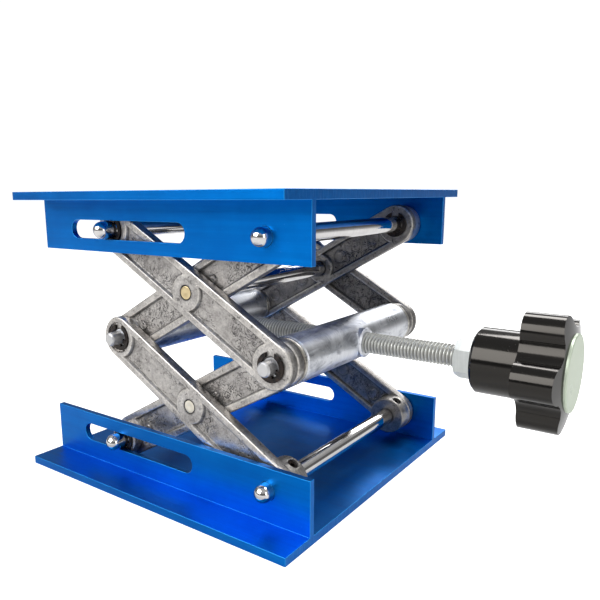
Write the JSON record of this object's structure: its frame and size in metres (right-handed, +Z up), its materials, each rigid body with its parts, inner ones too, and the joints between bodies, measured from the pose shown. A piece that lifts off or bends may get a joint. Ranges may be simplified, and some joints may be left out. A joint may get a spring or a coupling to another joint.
{
  "type": "scissor lab jack",
  "caption": "Small scissor-lift support jack: two blue flanged platforms joined by crossed cast arms, raised by a screw with a black star knob.",
  "frame": {"origin": "centre of the base platform's underside, where the jack stands on the bench", "axes": "+X along the screw towards the knob, +Y across the jack along the rods, +Z up"},
  "size_m": [0.1492, 0.1, 0.0867],
  "materials": {
    "blue_anodised": "bright blue anodised sheet",
    "cast_arm": "rough die casting",
    "chromed_steel": "polished",
    "brassy_steel": "yellow passivated",
    "black_steel": "blackened spring steel",
    "zinc_steel": "turned and zinc plated",
    "washer_steel": "plain",
    "screw_steel": "rolled thread",
    "nut_zinc": "white zinc plated",
    "black_plastic": "glossy moulded",
    "brass": "turned",
    "pale_cap": "pale satin disc"
  },
  "bodies": {
    "base": {"base_plate": "blue_anodised"},
    "lower_outer": {"lower_outer_arm_front": "cast_arm", "lower_outer_arm_rear": "cast_arm", "base_pivot_rod": "chromed_steel", "base_pivot_grub_screws": "black_steel", "lower_centre_rod": "chromed_steel"},
    "lower_inner": {"lower_inner_arm_front": "cast_arm", "lower_inner_arm_rear": "cast_arm", "base_slide_rod": "chromed_steel", "base_slide_clips": "black_steel"},
    "anchor_bar": {"anchor_bar": "zinc_steel", "anchor_bar_washers": "washer_steel", "anchor_bar_clips": "black_steel", "screw_thrust_washer": "washer_steel"},
    "screw": {"lead_screw": "screw_steel", "screw_lock_ring": "black_steel", "jam_nut": "nut_zinc", "knob": "black_plastic", "knob_insert": "brass", "knob_cap": "pale_cap"},
    "nut_bar": {"nut_bar": "zinc_steel", "nut_bar_washers": "washer_steel", "nut_bar_clips": "black_steel"},
    "upper_inner": {"upper_inner_arm_front": "cast_arm", "upper_inner_arm_rear": "cast_arm", "top_pivot_rod": "chromed_steel", "top_pivot_clips": "black_steel"},
    "upper_outer": {"upper_outer_arm_front": "cast_arm", "upper_outer_arm_rear": "cast_arm", "upper_centre_rod": "brassy_steel", "top_slide_rod": "chromed_steel", "top_slide_clips": "black_steel"},
    "top": {"top_plate": "blue_anodised"}
  },
  "joints": [
    {"name": "lift", "type": "hinge", "parent": "base", "child": "lower_outer", "pos_m": [0.0367, 0, 0.011], "axis": [0, 1, 0], "range_deg": [-18.15, 34.75]},
    {"name": "lower_cross", "type": "hinge", "parent": "lower_outer", "child": "lower_inner", "pos_m": [0.00794, 0, 0.02717], "axis": [0, 1, 0], "range_deg": [-70, 37]},
    {"name": "anchor_turn", "type": "hinge", "parent": "lower_outer", "child": "anchor_bar", "pos_m": [-0.02083, 0, 0.04335], "axis": [0, 1, 0], "range_deg": [-35, 19]},
    {"name": "upper_link", "type": "hinge", "parent": "lower_outer", "child": "upper_inner", "pos_m": [-0.02083, 0, 0.04335], "axis": [0, 1, 0], "range_deg": [-70, 37]},
    {"name": "upper_cross", "type": "hinge", "parent": "upper_inner", "child": "upper_outer", "pos_m": [0.00794, 0, 0.05952], "axis": [0, 1, 0], "range_deg": [-37, 70]},
    {"name": "platform_turn", "type": "hinge", "parent": "upper_inner", "child": "top", "pos_m": [0.0367, 0, 0.0757], "axis": [0, 1, 0], "range_deg": [-19, 35]},
    {"name": "nut_turn", "type": "hinge", "parent": "lower_inner", "child": "nut_bar", "pos_m": [0.0367, 0, 0.04335], "axis": [0, 1, 0], "range_deg": [-19, 35]},
    {"name": "screw_spin", "type": "hinge", "parent": "anchor_bar", "child": "screw", "pos_m": [-0.02083, 0, 0.04335], "axis": [1, 0, 0], "range_deg": [-4430, 8480]}
  ],
  "couplings": [
    {"joint": "lower_cross", "follows": "lift", "ratio": -2},
    {"joint": "anchor_turn", "follows": "lift", "ratio": -1},
    {"joint": "upper_link", "follows": "lift", "ratio": -2},
    {"joint": "upper_cross", "follows": "lift", "ratio": 2},
    {"joint": "platform_turn", "follows": "lift", "ratio": 1},
    {"joint": "nut_turn", "follows": "lift", "ratio": 1},
    {"joint": "screw_spin", "follows": "lift", "ratio": 244}
  ]
}
